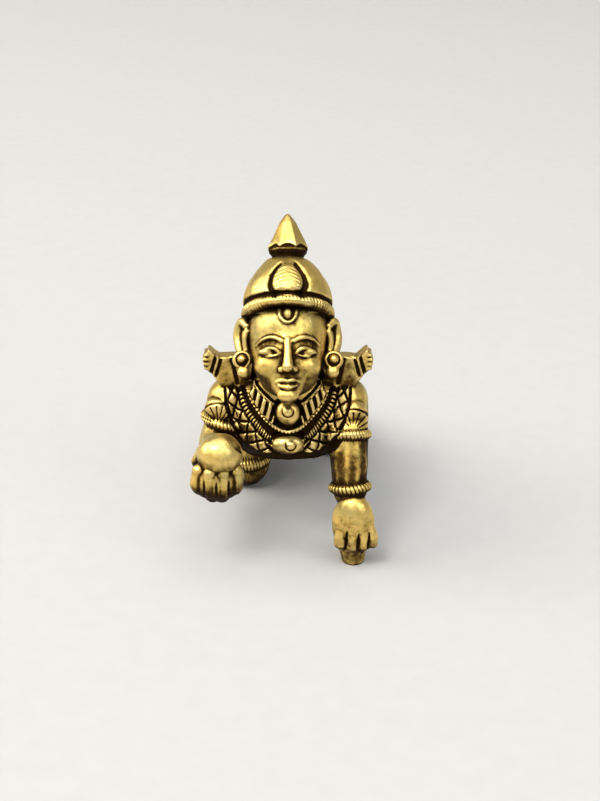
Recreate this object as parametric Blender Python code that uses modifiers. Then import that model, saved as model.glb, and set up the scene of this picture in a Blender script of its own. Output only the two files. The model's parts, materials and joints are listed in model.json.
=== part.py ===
"""A small solid-cast brass idol: a crawling child god, one hand on the ground and a round sweet in the other.

Everything is one casting. It faces -Y, Z is up and the filed patches under the hand, the knees and the feet
lie in the plane z = 0. The figure keeps its pose and carving as shares of its own height, each 1/51 of it.
"""
import math

import bmesh
import bpy
import numpy as np
from mathutils import Euler, Matrix, Vector
from mathutils.bvhtree import BVHTree

HEIGHT = 0.051              # metres, ground to the tip of the finial
SHARE = HEIGHT / 51.0       # metres in one share; all places below are in shares
GRAIN = 0.34                # cell of the clay the forms are joined in
FACES = 9300                # triangles kept in the finished solid

HEAD_TILT = 30.0            # degrees the head leans back
HEAD = Matrix.Translation((0, -14, 33.5)) @ Matrix.Rotation(math.radians(-HEAD_TILT), 4, "X")
WORLD = Matrix.Identity(4)
SIDES = (-1, 1)

BAND_HEIGHT = 4.75          # crown band above the middle of the head, along the head's own axis
BAND_ACROSS = 6.2           # the band is an oval: its reach sideways, and just below its reach to the front
BAND_RADIUS = 6.75
BAND_THICK = 0.78
BAND_RISE = 1.45            # how much higher the band sits over the forehead than at the sides

CHEST = Vector((0, -15, 27.9))           # pit of the neck, where the necklaces are measured from
CHEST_UP = Vector((0, math.sin(math.radians(25)), math.cos(math.radians(25))))
CHEST_OUT = Vector((0, -math.cos(math.radians(25)), math.sin(math.radians(25))))

# necklaces: angle from sideways to straight down, and the distance from the pit of the neck at each angle
TURN = [0, 10, 25, 38, 52, 65, 75, 83, 90]
COLLAR_INNER = [5.0, 4.5, 4.0, 3.8, 3.7, 3.7, 3.65, 3.6, 3.6]
COLLAR_OUTER = [6.4, 6.2, 6.1, 6.1, 6.3, 6.7, 7.1, 7.4, 7.5]
STRING = [7.3, 7.25, 7.2, 7.3, 7.65, 8.35, 8.95, 9.45, 9.7]
GARLAND = [9.3, 9.4, 9.7, 10.2, 10.8, 11.0, 10.8, 10.6, 10.5]

# rings: centre, axis, reach across and along, thickness of the bar
RINGS = [
    ((9.25, -14.2, 19.0), (0.0, -0.45, -1), 2.9, 3.3, 0.72),
    ((9.5, -18.2, 12.0), (0.06, -0.3, -1), 2.65, 2.6, 0.72),
    ((-9.9, -11.5, 20.3), (-0.25, -0.1, -1), 2.9, 3.3, 0.75),
    ((-10.8, -19.0, 17.2), (0, -1, 0), 2.7, 2.7, 0.7),
    ((-7.2, 6.1, 4.6), (-0.05, -0.1, -1), 3.5, 4.2, 0.95),
    ((7.25, 17.2, 6.3), (0.25, 0.0, -1), 4.5, 4.5, 1.05),
    ((-6.9, 16.0, 2.9), (0, 1, 0.05), 2.7, 2.5, 0.7),
    ((7.3, 26.8, 2.9), (0, 1, 0.05), 2.7, 2.5, 0.7),
    ((0, 6.5, 18.5), (0, 1, 0.12), 8.4, 7.0, 1.1),
]


def unit_ball():
    """One sphere that every ball form is stretched from."""
    clay = bmesh.new()
    bmesh.ops.create_uvsphere(clay, u_segments=28, v_segments=18, radius=1)
    mesh = bpy.data.meshes.new("unit_ball")
    clay.to_mesh(mesh)
    clay.free()
    return mesh


def add_mesh(clay, mesh):
    clay.from_mesh(mesh)
    bpy.data.meshes.remove(mesh)


def add_ball(clay, centre, radii, turn=(0, 0, 0), frame=WORLD):
    """A ball or an egg; turn is in degrees about x, y and z."""
    radii = radii if hasattr(radii, "__len__") else (radii,) * 3
    mesh = BALL.copy()
    mesh.transform(frame @ Matrix.LocRotScale(Vector(centre), Euler(map(math.radians, turn)), Vector(radii)))
    add_mesh(clay, mesh)


def add_tube(clay, points, radii, closed=False, frame=WORLD):
    """A round bar through points, with a ball at each open end."""
    points = [Vector(point) for point in points]
    radii = list(radii) if hasattr(radii, "__len__") else [radii] * len(points)
    curve = bpy.data.curves.new("bar", "CURVE")
    curve.dimensions = "3D"
    curve.bevel_depth = 1
    curve.bevel_resolution = 3
    curve.use_fill_caps = True
    curve.resolution_u = 6
    spline = curve.splines.new("BEZIER")
    spline.bezier_points.add(len(points) - 1)
    for bezier, point, radius in zip(spline.bezier_points, points, radii):
        bezier.co = frame @ point
        bezier.radius = radius
        bezier.handle_left_type = bezier.handle_right_type = "AUTO"
    spline.use_cyclic_u = closed
    holder = bpy.data.objects.new("bar", curve)
    bpy.context.scene.collection.objects.link(holder)
    mesh = bpy.data.meshes.new_from_object(holder.evaluated_get(bpy.context.evaluated_depsgraph_get()))
    bpy.data.objects.remove(holder)
    bpy.data.curves.remove(curve)
    add_mesh(clay, mesh)
    if not closed:
        add_ball(clay, points[0], radii[0], frame=frame)
        add_ball(clay, points[-1], radii[-1], frame=frame)


def add_turned(clay, profile, frame=WORLD, steps=48):
    """A solid of revolution about z from (radius, height) pairs, made by a screw of the profile."""
    mesh = bpy.data.meshes.new("turned")
    mesh.from_pydata([(radius, 0, height) for radius, height in profile],
                     [(i, i + 1) for i in range(len(profile) - 1)], [])
    holder = bpy.data.objects.new("turned", mesh)
    bpy.context.scene.collection.objects.link(holder)
    baked(holder, "SCREW", axis="Z", steps=steps, render_steps=steps, use_merge_vertices=True,
          merge_threshold=1e-4)
    mesh = holder.data.copy()
    mesh.transform(frame)
    bpy.data.objects.remove(holder)
    add_mesh(clay, mesh)


def add_slab(clay, outline, depth, frame=WORLD):
    """A flat outline in x and z, as thick as depth along y."""
    mesh = bpy.data.meshes.new("slab")
    mesh.from_pydata([(x, -depth / 2, z) for x, z in outline], [], [range(len(outline))])
    slab = bmesh.new()
    slab.from_mesh(mesh)
    made = bmesh.ops.extrude_face_region(slab, geom=slab.faces[:])
    moved = [item for item in made["geom"] if isinstance(item, bmesh.types.BMVert)]
    bmesh.ops.translate(slab, vec=(0, depth, 0), verts=moved)
    bmesh.ops.recalc_face_normals(slab, faces=slab.faces[:])
    slab.to_mesh(mesh)
    slab.free()
    mesh.transform(frame)
    add_mesh(clay, mesh)


def ring(centre, axis, across, along, count=24, tilt=0.0):
    """Points round an ellipse about axis; across is its reach in x, and tilt lifts its -y side along axis."""
    axis = Vector(axis).normalized()
    side = (Vector((1, 0, 0)) - axis * axis.x).normalized()
    other = axis.cross(side)
    angles = [2 * math.pi * i / count for i in range(count)]
    return [Vector(centre) + side * across * math.cos(a) + other * along * math.sin(a)
            - axis * tilt * math.sin(a) for a in angles]


def to_object(clay, name):
    mesh = bpy.data.meshes.new(name)
    clay.to_mesh(mesh)
    clay.free()
    made = bpy.data.objects.new(name, mesh)
    bpy.context.scene.collection.objects.link(made)
    return made


def baked(made, kind, **settings):
    """Puts one modifier on an object and applies it."""
    modifier = made.modifiers.new(kind.title(), kind)
    for key, value in settings.items():
        setattr(modifier, key, value)
    mesh = bpy.data.meshes.new_from_object(made.evaluated_get(bpy.context.evaluated_depsgraph_get()))
    made.modifiers.clear()
    made.data = mesh
    return made


def fused(made, cell, reach):
    """Joins overlapping forms into one skin and rounds its creases over about reach."""
    baked(made, "REMESH", mode="VOXEL", voxel_size=cell)
    return baked(made, "SMOOTH", factor=0.5, iterations=max(1, round(2 * (reach / cell) ** 2)))


def without_pockets(made):
    """Keeps the outer skin and drops the closed pockets that joining leaves inside it."""
    clay = bmesh.new()
    clay.from_mesh(made.data)
    left = set(clay.verts)
    shells = []
    while left:
        shell = {left.pop()}
        front = list(shell)
        while front:
            near = [edge.other_vert(vertex) for vertex in front for edge in vertex.link_edges]
            front = [vertex for vertex in set(near) if vertex in left]
            left.difference_update(front)
            shell.update(front)
        shells.append(shell)
    outer = max(shells, key=len)
    bmesh.ops.delete(clay, geom=[vertex for vertex in clay.verts if vertex not in outer], context="VERTS")
    clay.to_mesh(made.data)
    clay.free()
    return made


def cut_flat(made, point, out):
    """Cuts away what lies beyond a plane and closes the cut."""
    clay = bmesh.new()
    clay.from_mesh(made.data)
    everything = clay.verts[:] + clay.edges[:] + clay.faces[:]
    bmesh.ops.bisect_plane(clay, geom=everything, dist=1e-5, plane_co=point, plane_no=out, clear_outer=True)
    bmesh.ops.holes_fill(clay, edges=[edge for edge in clay.edges if edge.is_boundary], sides=0)
    clay.to_mesh(made.data)
    clay.free()


def form_head(clay):
    add_ball(clay, (0, 0.2, 2.2), (6.2, 6.3, 6.6), frame=HEAD)
    add_ball(clay, (0, -0.7, -0.8), (5.7, 5.7, 6.2), frame=HEAD)
    add_ball(clay, (0, -1.9, -4.0), (4.6, 4.2, 3.8), frame=HEAD)
    add_ball(clay, (0, -4.2, -6.6), (2.3, 1.7, 1.7), frame=HEAD)
    for side in SIDES:
        add_ball(clay, (side * 2.7, -3.7, -3.2), (2.3, 2.2, 2.3), frame=HEAD)
    add_tube(clay, [(0, -8.5, 24), (0, -12.2, 31)], [4.6, 4.2])


def form_torso(clay):
    add_ball(clay, (0, -10.2, 21.6), (9.4, 6.6, 7.6))
    add_ball(clay, (0, -10.6, 18.2), (8.8, 6.4, 5.6))
    add_ball(clay, (0, -4.0, 22.0), (9.2, 8.0, 6.6))
    add_ball(clay, (0, 3.0, 18.6), (8.6, 10.5, 7.4), turn=(8, 0, 0))
    for side in SIDES:
        add_ball(clay, (side * 3.7, 13.2, 17.2), (5.8, 7.0, 7.2))
    add_ball(clay, (0, 13.6, 17.8), (4.4, 6.6, 6.8))


def form_limbs(clay):
    add_tube(clay, [(8.8, -10.4, 23.1), (9.2, -13.2, 19.6), (9.4, -16.2, 15.4), (9.5, -18.4, 11.4)],
             [3.7, 3.3, 3.0, 2.6])
    add_tube(clay, [(-8.8, -10.4, 23.1), (-9.8, -11.4, 19.8), (-10.6, -12.6, 17.4), (-10.8, -19.0, 17.2)],
             [3.7, 3.2, 3.1, 2.7])
    add_tube(clay, [(-5.0, 12.5, 15.5), (-6.9, 8.2, 9.6), (-7.1, 5.6, 3.9)], [6.2, 4.9, 4.1])
    add_tube(clay, [(-7.1, 6.2, 3.5), (-7.0, 11.2, 3.1), (-6.9, 16.2, 2.5)], [3.9, 3.4, 2.5])
    add_tube(clay, [(5.0, 14.5, 15.0), (6.8, 16.5, 10.0), (7.4, 17.2, 4.3)], [6.2, 5.2, 4.5])
    add_tube(clay, [(7.4, 17.8, 3.7), (7.4, 22.5, 3.1), (7.3, 27.0, 2.5)], [4.3, 3.5, 2.5])


def form_planted_hand(clay):
    add_ball(clay, (10.0, -20.3, 7.0), (3.3, 2.45, 4.7))
    add_tube(clay, [(10.1, -19.8, 0.8), (10.0, -20.0, 3.6)], [1.9, 2.4])
    for x, thick, foot in ((8.05, 1.0, 4.2), (9.85, 1.1, 3.8), (11.6, 1.0, 3.8), (12.95, 0.85, 4.2)):
        add_tube(clay, [(x * 0.8 + 2.05, -21.2, 6.6), (x, -21.7, 5.3), (x, -21.7, foot)], [0.9, thick, thick])


def form_raised_hand(clay):
    add_ball(clay, (-10.5, -22.6, 16.1), (4.0, 3.9, 3.6))
    add_ball(clay, (-10.1, -23.1, 20.1), (3.4, 3.2, 3.2))
    for x in (-13.3, -11.5, -9.6, -7.8):
        tuck = 0.14 * (x + 10.5) ** 2
        add_tube(clay, [(-10.5 + (x + 10.5) * 0.75, -24.1 + tuck, 13.8 + 0.6 * tuck), (x, -25.3 + tuck, 15.6),
                        (x, -25.3 + tuck, 18.0)], [1.25, 1.25, 1.0])
    add_tube(clay, [(-13.3, -20.4, 16.8), (-13.5, -21.8, 18.6), (-12.9, -22.6, 19.8)], [0.95, 0.9, 0.8])


def form_feet(clay):
    for side, y in ((-1, 17.0), (1, 27.6)):
        x = 7.1 * side
        add_ball(clay, (x, y + 2.2, 2.2), (2.7, 4.0, 2.5), turn=(6, 0, 0))
        add_ball(clay, (x, y + 4.6, 1.5), (2.9, 2.5, 1.8), turn=(4, 0, 0))
        for i, size in enumerate((1.15, 1.0, 0.95, 0.9, 0.82)):
            toe = (x - side * (2.15 - i * 1.08), y + 7.0 - i * 0.3, 1.0)
            add_ball(clay, toe, (size * 0.7, size * 1.25, size))


def form_crown(clay):
    """The dome, whose foot leans with the band, the band and the finial; it is the first form in the clay."""
    add_turned(clay, [(0, 14.2), (2.5, 14.1), (2.6, 13.5), (3.5, 12.7), (4.75, 11.4), (5.75, 9.9), (6.4, 8.4),
                      (6.7, 7.0), (6.7, 5.8), (6.5, BAND_HEIGHT), (0, BAND_HEIGHT - 1)])
    for vertex in clay.verts:
        foot = min(1, max(0, (9.5 - vertex.co.z) / (9.5 - BAND_HEIGHT)))
        vertex.co.z -= BAND_RISE * foot * vertex.co.y / BAND_RADIUS
        vertex.co = HEAD @ vertex.co
    finial = [(0, 20.3), (0.4, 20.1), (1.3, 18.8), (2.1, 17.3), (2.85, 15.8), (3.4, 14.7), (3.4, 14.3),
              (2.9, 13.7), (0, 13.4)]
    add_turned(clay, finial, HEAD @ Matrix.Rotation(math.pi / 8, 4, "Z"), steps=8)
    add_tube(clay, ring((0, 0, BAND_HEIGHT), (0, 0, 1), BAND_ACROSS, BAND_RADIUS + 0.1, 32, BAND_RISE),
             BAND_THICK, closed=True, frame=HEAD)


def form_hair(clay):
    add_ball(clay, (0, 4.6, -0.6), (5.0, 2.6, 4.6), frame=HEAD)


def form_ears(clay):
    for side in SIDES:
        rim = [(side * 6.1, -1.4, 3.0), (side * 6.9, -0.5, 3.7), (side * 7.4, 0.3, 2.2),
               (side * 7.3, 0.0, 0.2), (side * 6.8, -0.7, -1.2)]
        add_tube(clay, rim, [0.6, 0.72, 0.78, 0.72, 0.68], frame=HEAD)
        add_ball(clay, (side * 6.2, 0.3, 1.3), (0.9, 1.2, 2.6), frame=HEAD)
        fold = [(side * 6.1, -1.7, 2.2), (side * 6.4, -1.5, 0.8), (side * 6.2, -1.3, -0.9)]
        add_tube(clay, fold, 0.42, frame=HEAD)
        add_ball(clay, (side * 6.8, -1.9, -2.1), (1.45, 0.8, 1.45), frame=HEAD)
        add_ball(clay, (side * 6.8, -2.6, -2.1), 0.68, frame=HEAD)
        add_ball(clay, (side * 6.6, -1.8, -3.9), (0.95, 0.8, 0.95), frame=HEAD)


def form_scarf(clay):
    """A scarf round the nape whose stiff flared ends stand on the shoulders."""
    for side in SIDES:
        outline = [(5.4, 31.2), (8.6, 31.2), (10.4, 31.0), (11.9, 32.3), (12.6, 31.6), (12.9, 30.6),
                   (12.75, 29.3), (11.6, 28.3), (10.8, 27.2), (9.4, 25.6), (5.4, 25.2)]
        add_slab(clay, [(side * x, z) for x, z in outline], 2.4, frame=Matrix.Translation((0, -11.4, 0)))
    roll = [(-7.5, -9.8, 28.6), (-4.2, -5.6, 28.8), (0, -4.2, 28.9), (4.2, -5.6, 28.8), (7.5, -9.8, 28.6)]
    add_tube(clay, roll, [1.7, 1.5, 1.6, 1.5, 1.7])


def form_bands(clay):
    """Arm rings, wrist rings, the hems over the knees, anklets and the belt."""
    for centre, axis, across, along, thick in RINGS:
        add_tube(clay, ring(centre, axis, across, along), thick, closed=True)


def form_arm_leaves(clay):
    add_ball(clay, (9.7, -13.6, 22.2), (2.5, 1.8, 2.3), turn=(15, 0, 20))
    add_ball(clay, (-10.7, -12.9, 22.4), (2.2, 1.8, 2.3), turn=(10, 0, -25))


def form_pendants(clay, skin):
    """The round pendant, the plaque under it and the boss on each, seated on the chest."""
    def on(x, down, out):
        start = CHEST + Vector((x, 0, 0)) - CHEST_UP * down + CHEST_OUT * 20
        return skin.ray_cast(start, -CHEST_OUT)[0] + CHEST_OUT * out

    add_ball(clay, on(0, 4.4, 0.1), (1.5, 1.0, 1.6), turn=(-25, 0, 0))
    add_ball(clay, on(0, 4.2, 0.9), 0.58)
    add_ball(clay, on(0.1, 9.2, 0.1), (2.2, 1.1, 1.2), turn=(-25, 0, 0))
    add_ball(clay, on(0.45, 9.3, 0.95), 0.62)


def form_face(clay, skin):
    """A calm child's face by the rule of thirds: brow, nose, mouth and chin below the crown band."""
    def on(x, u, out=0.0):
        """The place on the bare head at x and u, lifted by out."""
        found = skin.ray_cast(HEAD @ Vector((x, -20, u)), HEAD.to_3x3() @ Vector((0, 1, 0)))
        return HEAD.inverted() @ found[0] + Vector((0, -out, 0))

    add_tube(clay, [on(0, 0.5, -0.25), on(0, -1.3, 0.1), on(0, -3.6, 0.75)], [0.5, 0.6, 0.85], frame=HEAD)
    add_tube(clay, [on(-1.75, -5.75, -0.05), on(-0.6, -5.5, 0.1), on(0, -5.65, 0.1), on(0.6, -5.5, 0.1),
                    on(1.75, -5.75, -0.05)], [0.18, 0.4, 0.36, 0.4, 0.18], frame=HEAD)
    lower_lip = [on(-1.3, -6.25, 0.0), on(0, -6.55, 0.1), on(1.3, -6.25, 0.0)]
    add_tube(clay, lower_lip, [0.22, 0.5, 0.22], frame=HEAD)
    add_ball(clay, on(0, -7.6, -0.55), (1.6, 1.1, 1.1), frame=HEAD)
    for side in SIDES:
        add_ball(clay, on(side * 0.85, -3.95, 0.1), (0.6, 0.65, 0.5), frame=HEAD)
        add_ball(clay, on(side * 2.7, -1.3, -0.3), (1.55, 0.72, 0.62), frame=HEAD)
        lid = [on(side * 1.2, -1.6, 0.1), on(side * 1.9, -0.95, 0.28), on(side * 2.9, -0.8, 0.3),
               on(side * 4.2, -1.4, 0.1)]
        add_tube(clay, lid, [0.2, 0.3, 0.3, 0.18], frame=HEAD)
        add_tube(clay, [on(side * 1.4, -1.75, 0.05), on(side * 2.7, -2.0, 0.15), on(side * 4.0, -1.6, 0.0)],
                 [0.15, 0.2, 0.15], frame=HEAD)
        brow = [on(side * 0.9, 0.25, 0.05), on(side * 2.1, 0.8, 0.15), on(side * 3.4, 0.65, 0.15),
                on(side * 4.7, -0.2, 0.05)]
        add_tube(clay, brow, [0.34, 0.38, 0.34, 0.2], frame=HEAD)
    mark = [on(-1.25, 5.0, 0.1), on(-1.05, 3.8, 0.1), on(0, 3.0, 0.12), on(1.05, 3.8, 0.1),
            on(1.25, 5.0, 0.1)]
    add_tube(clay, mark, 0.26, frame=HEAD)
    add_ball(clay, on(0, 4.4, 0.0), (0.72, 0.42, 1.0), frame=HEAD)


def necklace_relief(places, facing):
    """Height of the collar, the string and the garland over the skin of the chest."""
    across = np.abs(places[:, 0])
    down = -(places - np.array(CHEST)) @ np.array(CHEST_UP)
    out = np.hypot(across, down)
    turn = np.degrees(np.arctan2(down, across))
    borders = (COLLAR_INNER, COLLAR_OUTER, STRING, GARLAND)
    inner, outer, string, rim = (np.interp(turn, TURN, line) for line in borders)
    collar = 0.35 * ridge(out, inner, outer)
    bead = 0.5 * np.exp(-((out - string) / 0.42) ** 2)
    petals = 0.45 * ridge(out, string + 0.95, rim)
    trench = -0.35 * ridge(out, outer, string - 0.5) - 0.2 * np.exp(-((out - rim - 0.25) / 0.25) ** 2)
    top = np.where(across > 5.2, 26.2, 28.5)
    there = (facing @ np.array(CHEST_OUT) > 0.1) & (turn > -4) & (places[:, 1] < -7) & (places[:, 2] < top)
    return np.where(there, collar + bead + petals + trench, 0.0)


def cloth_relief(places, facing):
    """The gathered strip that runs down the middle of the cloth behind the belt."""
    across = np.abs(places[:, 0])
    strip = 0.45 * np.clip((2.3 - across) / 0.3, 0, 1) - 0.3 * np.exp(-((across - 0.75) / 0.25) ** 2)
    there = (places[:, 1] > 7.6) & (facing[:, 2] + facing[:, 1] > 0.2) & (places[:, 2] > 12)
    return np.where(there, strip, 0.0)


def crown_relief(places):
    """Height of the leaf on the front and back of the crown and of the petals beside it."""
    flat = HEAD.inverted()
    local = places @ np.array(flat.to_3x3()).T + np.array(flat.translation)
    x, y, u = local.T
    turn = np.abs(np.arctan2(x, -y))
    turn = np.minimum(turn, math.pi - turn)
    leaf = np.hypot(turn / 0.42, (u - 9.5) / 2.45)
    swell = np.where(y < 0, 0.55, 0.3)
    height = swell * np.sqrt(np.clip(1 - leaf ** 2, 0, 1)) - 0.5 * np.exp(-((leaf - 1.17) / 0.15) ** 2)
    height -= 0.25 * np.exp(-((turn - math.pi / 2) / 0.05) ** 2)
    there = (u > 5.6) & (u < 13.0) & (np.hypot(x, y) > 2.6) & (np.hypot(x, y) < 7.6)
    return np.where(there, height, 0.0)


def ridge(value, start, end):
    """One between start and end, falling to nothing over 0.2 on either side."""
    return np.clip((value - start) / 0.2 + 0.5, 0, 1) * np.clip((end - value) / 0.2 + 0.5, 0, 1)


def carve(made):
    """Moves the skin along its normals by the carved reliefs."""
    mesh = made.data
    places = np.empty(len(mesh.vertices) * 3)
    mesh.vertices.foreach_get("co", places)
    places = places.reshape(-1, 3)
    facing = np.empty(len(mesh.vertices) * 3)
    mesh.vertex_normals.foreach_get("vector", facing)
    facing = facing.reshape(-1, 3)
    height = necklace_relief(places, facing) + crown_relief(places) + cloth_relief(places, facing)
    mesh.vertices.foreach_set("co", (places + facing * height[:, None]).ravel())
    mesh.update()


def thinned(made):
    """Brings the skin down to FACES triangles, with more of them kept in the face, the hands and chest."""
    kept = made.vertex_groups.new(name="kept")
    for vertex in made.data.vertices:
        x, y, z = vertex.co
        share = 0.3 if z > 26 and y < -12 else 0.12 if y < -12 else 0.0
        kept.add([vertex.index], share, "REPLACE")
    count = sum(len(face.vertices) - 2 for face in made.data.polygons)
    baked(made, "DECIMATE", ratio=FACES / count, vertex_group="kept", invert_vertex_group=True)
    made.vertex_groups.clear()


def settled(made):
    """Scales the figure to metres and centres it over the origin."""
    corners = np.array([vertex.co for vertex in made.data.vertices])
    low, high = corners.min(axis=0), corners.max(axis=0)
    middle = (low + high) / 2
    made.data.transform(Matrix.Scale(SHARE, 4) @ Matrix.Translation((-middle[0], -middle[1], -low[2])))
    return made


def idol():
    flesh = bmesh.new()
    form_head(flesh)
    form_torso(flesh)
    body = fused(to_object(flesh, "body"), GRAIN, 0.9)
    cut_flat(body, (0, -16.5, 15.5), (0, -0.16, -1))
    clay = bmesh.new()
    form_limbs(clay)
    add_mesh(clay, body.data)
    body = fused(to_object(clay, "body"), GRAIN, 0.5)
    skin = BVHTree.FromObject(body, bpy.context.evaluated_depsgraph_get())
    clay = bmesh.new()
    for form in (form_crown, form_planted_hand, form_raised_hand, form_feet, form_hair, form_ears, form_scarf,
                 form_bands, form_arm_leaves):
        form(clay)
    form_pendants(clay, skin)
    form_face(clay, skin)
    add_mesh(clay, body.data)
    made = without_pockets(fused(to_object(clay, "idol"), GRAIN, 0.2))
    carve(made)
    thinned(made)
    cut_flat(made, (0, 0, 0), (0, 0, -1))
    return settled(made)


for old in list(bpy.data.objects):
    bpy.data.objects.remove(old)
BALL = unit_ball()
idol()
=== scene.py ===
"""The small cast brass idol of a crawling child god, with its chasing, its patina with painted shade and
highlight, and its light.

The forms are those of the solid, joined at a finer grain, and the fine chasing is carved into their skin.
Places are in shares of the figure's height, as in the solid: one share is 1/51 of it, close to a millimetre.
"""
import json
import math

import bmesh
import bpy
import numpy as np
from mathutils import Euler, Matrix, Vector
from mathutils.bvhtree import BVHTree

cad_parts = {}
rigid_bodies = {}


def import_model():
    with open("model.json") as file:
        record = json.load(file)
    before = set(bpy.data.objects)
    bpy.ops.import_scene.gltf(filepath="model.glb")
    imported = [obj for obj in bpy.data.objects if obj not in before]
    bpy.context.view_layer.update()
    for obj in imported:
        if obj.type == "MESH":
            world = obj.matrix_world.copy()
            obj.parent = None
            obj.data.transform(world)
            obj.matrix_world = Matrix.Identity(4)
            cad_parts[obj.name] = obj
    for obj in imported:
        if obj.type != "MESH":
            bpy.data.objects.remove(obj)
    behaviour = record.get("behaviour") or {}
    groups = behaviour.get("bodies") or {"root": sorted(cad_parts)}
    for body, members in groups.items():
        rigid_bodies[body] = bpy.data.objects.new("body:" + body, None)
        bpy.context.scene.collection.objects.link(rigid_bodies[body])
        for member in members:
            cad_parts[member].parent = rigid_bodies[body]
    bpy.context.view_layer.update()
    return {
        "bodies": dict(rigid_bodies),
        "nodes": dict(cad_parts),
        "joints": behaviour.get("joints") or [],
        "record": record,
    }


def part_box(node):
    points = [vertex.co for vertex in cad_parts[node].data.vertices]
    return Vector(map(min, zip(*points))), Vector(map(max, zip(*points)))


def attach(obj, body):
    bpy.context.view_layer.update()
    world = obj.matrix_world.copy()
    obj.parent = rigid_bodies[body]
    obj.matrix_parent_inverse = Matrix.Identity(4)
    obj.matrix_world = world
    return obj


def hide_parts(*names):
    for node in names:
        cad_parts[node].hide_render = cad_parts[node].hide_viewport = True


HEIGHT = 0.051              # metres, ground to the tip of the finial
SHARE = HEIGHT / 51.0       # metres in one share; all places below are in shares
ROUGH_GRAIN = 0.3           # cell of the clay for the bare body
GRAIN = 0.13                # cell of the clay for the finished skin
FACES = 190000              # triangles kept in the finished skin

HEAD_TILT = 30.0            # degrees the head leans back
HEAD = Matrix.Translation((0, -14, 33.5)) @ Matrix.Rotation(math.radians(-HEAD_TILT), 4, "X")
WORLD = Matrix.Identity(4)
SIDES = (-1, 1)

BAND_HEIGHT = 4.75          # crown band above the middle of the head, along the head's own axis
BAND_ACROSS = 6.2           # the band is an oval: its reach sideways, and just below its reach to the front
BAND_RADIUS = 6.75
BAND_THICK = 0.78
BAND_RISE = 1.45            # how much higher the band sits over the forehead than at the sides

CHEST = Vector((0, -15, 27.9))           # pit of the neck, where the necklaces are measured from
CHEST_LEAN = math.radians(25)
CHEST_UP = Vector((0, math.sin(CHEST_LEAN), math.cos(CHEST_LEAN)))
CHEST_OUT = Vector((0, -math.cos(CHEST_LEAN), math.sin(CHEST_LEAN)))

RIB_STEP = 0.52             # from one rib of a ring to the next
RAYS = 10                   # rays cast from each vertex to find shadowed recesses
SHADOW_REACH = 9.0          # how far those rays look

# necklaces: angle from sideways to straight down, and the distance from the pit of the neck at each angle
TURN = [0, 10, 25, 38, 52, 65, 75, 83, 90]
COLLAR_INNER = [5.0, 4.5, 4.0, 3.8, 3.7, 3.7, 3.65, 3.6, 3.6]
COLLAR_OUTER = [6.4, 6.2, 6.1, 6.1, 6.3, 6.7, 7.1, 7.4, 7.5]
STRING = [7.3, 7.25, 7.2, 7.3, 7.65, 8.35, 8.95, 9.45, 9.7]
GARLAND = [9.3, 9.4, 9.7, 10.2, 10.8, 11.0, 10.8, 10.6, 10.5]
BEAD_STEP = 0.6             # along the bead string
LEAF_STEP = 2.3             # along the lattice of the garland
BAR_STEP = 1.08             # between the hanging bars of the collar
# pendants: centre across and down, half width and half height, and the centre of the boss
PENDANTS = [((0, 4.4), (1.52, 1.62), (0, 4.2)), ((0.1, 9.2), (2.15, 1.2), (0.45, 9.3))]
SQUARENESS = 2.4            # of the pendants' outlines: 2 is an oval
FULL_CUT = 0.4              # a cut this deep is filled with tarnish

# brass, what lies on it, and the painted shade and highlight mixed into it
WARM_BRASS = (0.88, 0.57, 0.14)
MID_BRASS = (0.74, 0.53, 0.14)
GREEN_BRASS = (0.62, 0.49, 0.17)
# rubbed edges, and painted highlight on the raised ball and the planted hand
RUBBED_AND_PAINTED_HIGHLIGHT_BRASS = (0.92, 0.68, 0.27, 1)
# brown patina in recesses, also used as painted shade
BROWN_PATINA_AND_PAINTED_SHADE = (0.17, 0.095, 0.02, 1)
# black patina in the deepest recesses, also used as painted shade
BLACK_PATINA_AND_PAINTED_SHADE = (0.03, 0.015, 0.005, 1)

# rings: centre, axis, reach across and along, thickness of the bar
RINGS = [
    ((9.25, -14.2, 19.0), (0.0, -0.45, -1), 2.9, 3.3, 0.72),
    ((9.5, -18.2, 12.0), (0.06, -0.3, -1), 2.65, 2.6, 0.72),
    ((-9.9, -11.5, 20.3), (-0.25, -0.1, -1), 2.9, 3.3, 0.75),
    ((-10.8, -19.0, 17.2), (0, -1, 0), 2.7, 2.7, 0.7),
    ((-7.2, 6.1, 4.6), (-0.05, -0.1, -1), 3.5, 4.2, 0.95),
    ((7.25, 17.2, 6.3), (0.25, 0.0, -1), 4.5, 4.5, 1.05),
    ((-6.9, 16.0, 2.9), (0, 1, 0.05), 2.7, 2.5, 0.7),
    ((7.3, 26.8, 2.9), (0, 1, 0.05), 2.7, 2.5, 0.7),
    ((0, 6.5, 18.5), (0, 1, 0.12), 8.4, 7.0, 1.1),
]

PICTURE_WIDE = 600          # pixels
PICTURE_TALL = 801
AIM_PIXEL = (288, 382)      # where the aim lies in the picture
CAMERA_RISE = 25.0          # degrees above the ground
CAMERA_AWAY = 0.25          # metres
PIXELS_PER_METRE = 6370     # at the aim
AIM = Vector((0.0004, -0.01074, 0.024))
LAMP_AIM = Vector((0, 0, 0.022))
SENSOR = 36                 # millimetres, the height of the camera's sensor
SURROUND = 0.36             # strength of the light from all round
FLOOR_FLAT = 0.9            # metres: reach of the flat floor, where its bend starts, the bend, the wall's top
BEND_START = 1.3
BEND = 0.8
WALL_TOP = 2.4


def unit_ball():
    """One sphere that every ball form is stretched from."""
    clay = bmesh.new()
    bmesh.ops.create_uvsphere(clay, u_segments=28, v_segments=18, radius=1)
    mesh = bpy.data.meshes.new("unit_ball")
    clay.to_mesh(mesh)
    clay.free()
    return mesh


def add_mesh(clay, mesh):
    clay.from_mesh(mesh)
    bpy.data.meshes.remove(mesh)


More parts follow.
